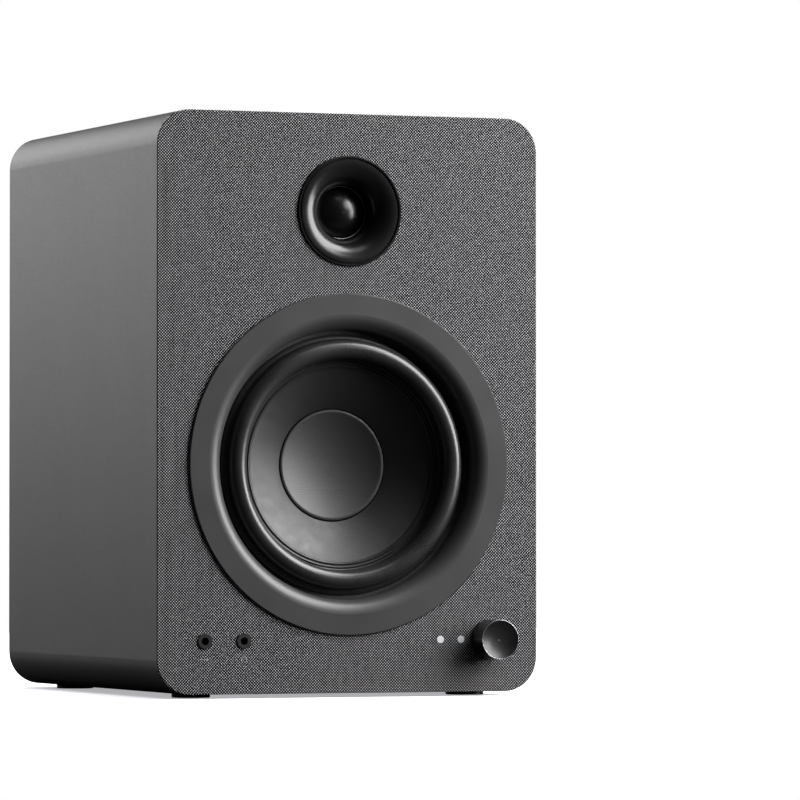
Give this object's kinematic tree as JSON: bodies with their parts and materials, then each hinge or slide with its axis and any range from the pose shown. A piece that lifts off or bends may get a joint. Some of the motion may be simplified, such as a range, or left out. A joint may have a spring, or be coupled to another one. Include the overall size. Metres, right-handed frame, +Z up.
{
  "type": "bookshelf speaker",
  "caption": "Powered two-way bookshelf speaker with a rounded black cabinet, woven front, dished woofer, horn tweeter, volume knob and front sockets.",
  "frame": {"origin": "on the surface it stands on, under the middle of the overall box", "axes": "+Z up, the front with the drivers faces -Y, +X to the right seen from the front"},
  "size_m": [0.19, 0.242, 0.272],
  "materials": {
    "wrap": "satin black vinyl over fibreboard",
    "woven_face": "fine woven texture",
    "board": "raw fibreboard",
    "felt": "soft felt",
    "rubber": "matte rubber",
    "black_plastic": "satin moulded plastic",
    "gloss_plastic": "gloss moulded plastic",
    "red_plastic": "satin moulded plastic",
    "cast_metal": "black coated casting",
    "paper": "coated pulp",
    "cloth": "resin dipped cloth",
    "film": "doped silk",
    "steel": "zinc plated",
    "black_steel": "black textured paint",
    "aluminium": "satin anodised",
    "ferrite": "sintered ferrite",
    "neodymium": "nickel plated",
    "copper": "enamelled copper wire",
    "brass": "nickel and gold flash",
    "chrome": "bright plate",
    "board_laminate": "green solder mask",
    "clear": "frosted clear plastic",
    "white_plastic": "satin moulded plastic",
    "wire_cover": "soft wire cover"
  },
  "bodies": {
    "cabinet": {"amp_board": "board_laminate", "amp_board_standoffs": "brass", "amp_plate": "black_steel", "amp_plate_gasket": "rubber", "amp_plate_screws": "steel", "aux_jack": "gloss_plastic", "baffle_skin": "woven_face", "bass_port_tube": "black_plastic", "board_screws": "steel", "cabinet_shell": "wrap", "control_board": "board_laminate", "damping_lining": "felt", "driver_leads": "wire_cover", "filter_capacitors": "black_plastic", "front_baffle": "board", "headphone_jack": "gloss_plastic", "heat_sink": "aluminium", "internal_brace": "board", "jack_bezels": "black_steel", "led_light_pipes": "clear", "mains_inlet": "black_plastic", "mains_inlet_pins": "brass", "potentiometer_body": "steel", "potentiometer_nut": "steel", "power_switch_bezel": "black_plastic", "rca_insulators": "white_plastic", "rca_shells": "chrome", "rear_panel": "wrap", "rubber_feet": "rubber", "speaker_terminal_housing": "black_plastic", "toroidal_transformer": "copper", "transformer_clamp": "steel", "tweeter_lock_ring": "black_plastic", "tweeter_magnet": "neodymium", "tweeter_pole_plate": "steel", "tweeter_rear_chamber": "black_plastic", "tweeter_surround": "film", "tweeter_waveguide": "gloss_plastic", "tweeter_yoke_cup": "steel", "woofer_basket": "cast_metal", "woofer_gasket": "rubber", "woofer_magnet": "ferrite", "woofer_screws": "steel", "woofer_spider": "cloth", "woofer_surround": "rubber", "woofer_terminals": "brass", "woofer_top_plate": "steel", "woofer_trim_ring": "black_plastic", "woofer_yoke": "steel"},
    "volume_control": {"volume_knob": "aluminium", "potentiometer_shaft": "steel"},
    "woofer_cone_assembly": {"woofer_cone": "paper", "woofer_dust_cap": "paper", "voice_coil_former": "aluminium", "voice_coil_winding": "copper"},
    "tweeter_dome_assembly": {"tweeter_dome": "film", "tweeter_voice_coil": "copper"},
    "power_rocker": {"power_switch_rocker": "gloss_plastic"},
    "red_lever": {"red_clip_lever": "red_plastic"},
    "black_lever": {"black_clip_lever": "black_plastic"}
  },
  "joints": [
    {"name": "knob_turn", "type": "hinge", "parent": "cabinet", "child": "volume_control", "pos_m": [0.071, -0.108, 0.0266], "axis": [0, 1, 0], "range_deg": [-150, 150]},
    {"name": "woofer_excursion", "type": "slide", "parent": "cabinet", "child": "woofer_cone_assembly", "axis": [0, 1, 0], "range_m": [-0.004, 0.004], "stiffness_N_per_m": 1000, "deforming": ["woofer_surround", "woofer_spider"]},
    {"name": "tweeter_excursion", "type": "slide", "parent": "cabinet", "child": "tweeter_dome_assembly", "axis": [0, 1, 0], "range_m": [-0.0003, 0.0003], "stiffness_N_per_m": 800, "deforming": ["tweeter_surround"]},
    {"name": "power_switch_rock", "type": "hinge", "parent": "cabinet", "child": "power_rocker", "pos_m": [0.028, 0.112, 0.044], "axis": [1, 0, 0], "range_deg": [-16, 0]},
    {"name": "red_lever_press", "type": "hinge", "parent": "cabinet", "child": "red_lever", "pos_m": [0.03, 0.11, 0.157], "axis": [1, 0, 0], "range_deg": [-22, 0], "stiffness_Nm_per_rad": 0.05},
    {"name": "black_lever_press", "type": "hinge", "parent": "cabinet", "child": "black_lever", "pos_m": [0.008, 0.11, 0.157], "axis": [1, 0, 0], "range_deg": [-22, 0], "stiffness_Nm_per_rad": 0.05}
  ]
}
